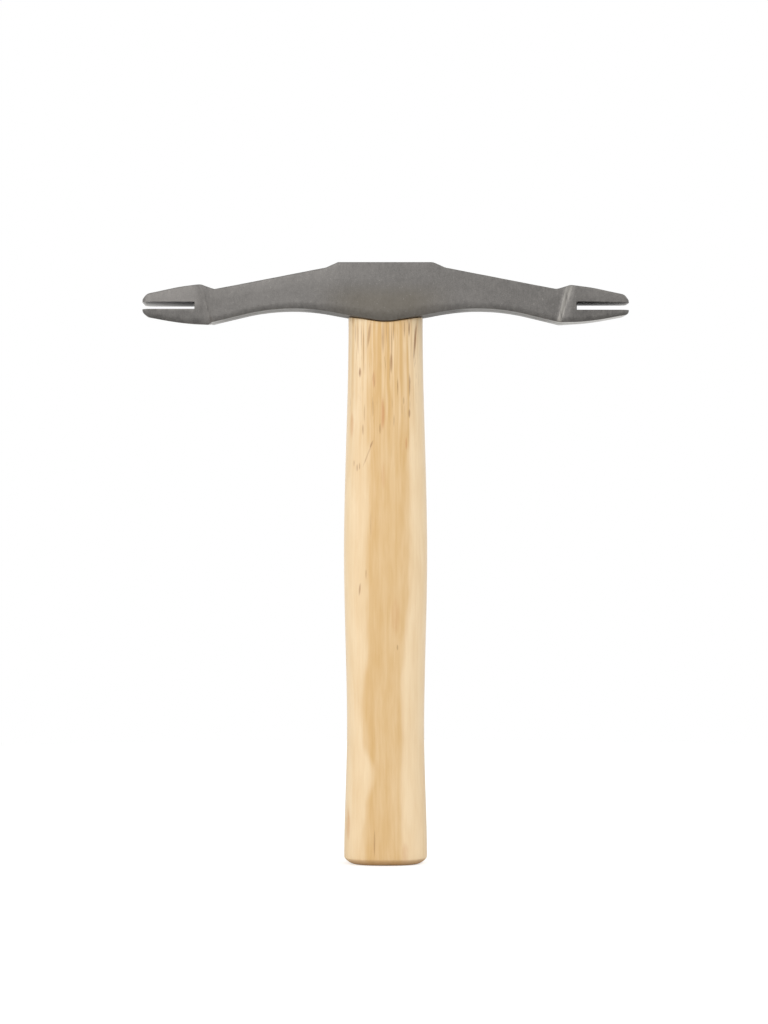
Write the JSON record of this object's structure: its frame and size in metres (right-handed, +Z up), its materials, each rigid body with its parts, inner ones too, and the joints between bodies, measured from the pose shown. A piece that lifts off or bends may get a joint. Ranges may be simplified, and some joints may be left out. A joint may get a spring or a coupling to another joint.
{
  "type": "scutch hammer",
  "caption": "Double-ended scutch hammer: forged steel head, slotted at each tip for a replaceable comb, wedged on a shaped wooden handle.",
  "frame": {"origin": "centre of the handle's butt, at the lowest point, with the hammer standing upright", "axes": "+Z up along the handle to the head, +X along the head, +Y through the head's cheeks to the back"},
  "size_m": [0.222, 0.028, 0.275],
  "materials": {
    "forged_steel": "shot-blasted forging, matt grey",
    "handle_wood": "pale close-grained hardwood under satin lacquer",
    "wedge_wood": "bare end grain",
    "wedge_steel": "bare steel, hammered flush"
  },
  "bodies": {
    "root": {"head": "forged_steel", "handle": "handle_wood", "wood_wedge": "wedge_wood", "steel_wedge_left": "wedge_steel", "steel_wedge_right": "wedge_steel"}
  },
  "joints": []
}
